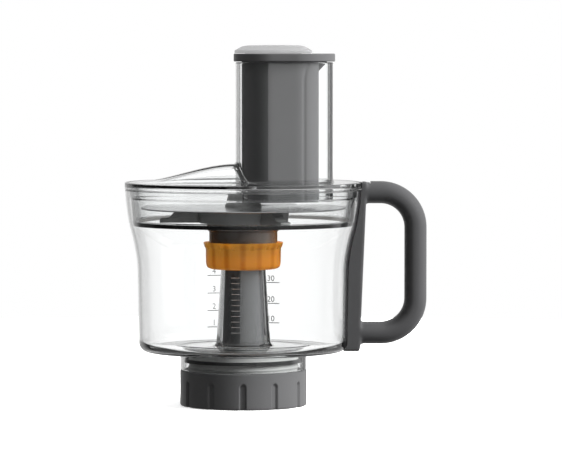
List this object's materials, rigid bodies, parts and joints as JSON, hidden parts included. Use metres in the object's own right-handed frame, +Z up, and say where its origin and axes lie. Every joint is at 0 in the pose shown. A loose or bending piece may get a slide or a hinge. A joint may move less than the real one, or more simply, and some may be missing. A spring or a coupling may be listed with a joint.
{
  "type": "food processor bowl attachment",
  "caption": "Clear food processor bowl with a D handle, locking lid, tall feed tube with nested pushers, slicing disc on an amber adaptor, and a geared twist-on base.",
  "frame": {"origin": "centre of the drive coupling's end face, on the drive axis, level with the foot of the grip collar", "axes": "+Z up along the drive axis, +X towards the handle, -Y towards the front of the bowl, which carries the scale"},
  "size_m": [0.2419, 0.19, 0.2885],
  "materials": {
    "clear_plastic": "clear, polished",
    "dark_plastic": "fine matt grain",
    "amber_plastic": "translucent amber",
    "smoke_plastic": "smoky, satin",
    "frosted_plastic": "frosted grey",
    "steel": "brushed",
    "gear_plastic": "natural acetal",
    "bronze": "sintered bronze",
    "rubber": "soft black"
  },
  "bodies": {
    "base": {"grip_collar": "dark_plastic", "gearbox_housing": "dark_plastic", "gearbox_floor": "dark_plastic", "base_screw_1": "steel", "base_screw_2": "steel", "base_screw_3": "steel", "base_screw_4": "steel", "ring_gear": "gear_plastic", "input_bush": "bronze", "output_bush": "bronze", "shaft_seal": "rubber", "chimney_bush": "bronze", "bowl": "clear_plastic", "bowl_gasket": "rubber", "handle": "dark_plastic"},
    "input": {"input_coupling": "dark_plastic", "input_spindle": "steel", "spindle_circlip": "steel", "sun_gear": "steel"},
    "drive": {"planet_carrier": "dark_plastic", "planet_pin_1": "steel", "planet_pin_2": "steel", "planet_pin_3": "steel", "drive_shaft": "dark_plastic", "output_spindle": "steel", "drive_adaptor": "amber_plastic", "disc_hub": "dark_plastic", "slicing_disc": "steel", "slicing_blade": "steel"},
    "planet_1": {"planet_gear_1": "gear_plastic"},
    "planet_2": {"planet_gear_2": "gear_plastic"},
    "planet_3": {"planet_gear_3": "gear_plastic"},
    "seal": {"lid_seal": "smoke_plastic"},
    "cover": {"lid": "clear_plastic", "feed_tube": "clear_plastic"},
    "pusher": {"large_pusher": "dark_plastic"},
    "inner_pusher": {"small_pusher": "frosted_plastic", "pusher_cap": "frosted_plastic"}
  },
  "joints": [
    {"name": "output_spin", "type": "hinge", "parent": "base", "child": "drive", "pos_m": [0, 0, 0.05], "axis": [0, 0, 1], "continuous": true},
    {"name": "input_spin", "type": "hinge", "parent": "base", "child": "input", "pos_m": [0, 0, 0.01], "axis": [0, 0, 1], "continuous": true},
    {"name": "planet_1_spin", "type": "hinge", "parent": "drive", "child": "planet_1", "pos_m": [0.0225, 0, 0.021], "axis": [0, 0, 1], "continuous": true},
    {"name": "planet_2_spin", "type": "hinge", "parent": "drive", "child": "planet_2", "pos_m": [-0.01125, 0.01949, 0.021], "axis": [0, 0, 1], "continuous": true},
    {"name": "planet_3_spin", "type": "hinge", "parent": "drive", "child": "planet_3", "pos_m": [-0.01125, -0.01949, 0.021], "axis": [0, 0, 1], "continuous": true},
    {"name": "lid_lift", "type": "slide", "parent": "base", "child": "seal", "axis": [0, 0, 1], "range_m": [0, 0.06]},
    {"name": "lid_turn", "type": "hinge", "parent": "seal", "child": "cover", "pos_m": [0, 0, 0.176], "axis": [0, 0, 1], "range_deg": [0, 25]},
    {"name": "pusher_slide", "type": "slide", "parent": "cover", "child": "pusher", "axis": [0, 0, 1], "range_m": [0, 0.118]},
    {"name": "small_pusher_slide", "type": "slide", "parent": "pusher", "child": "inner_pusher", "axis": [0, 0, 1], "range_m": [0, 0.118]}
  ],
  "couplings": [
    {"joint": "input_spin", "follows": "output_spin", "ratio": 5},
    {"joint": "planet_1_spin", "follows": "output_spin", "ratio": -2.6667},
    {"joint": "planet_2_spin", "follows": "output_spin", "ratio": -2.6667},
    {"joint": "planet_3_spin", "follows": "output_spin", "ratio": -2.6667}
  ]
}
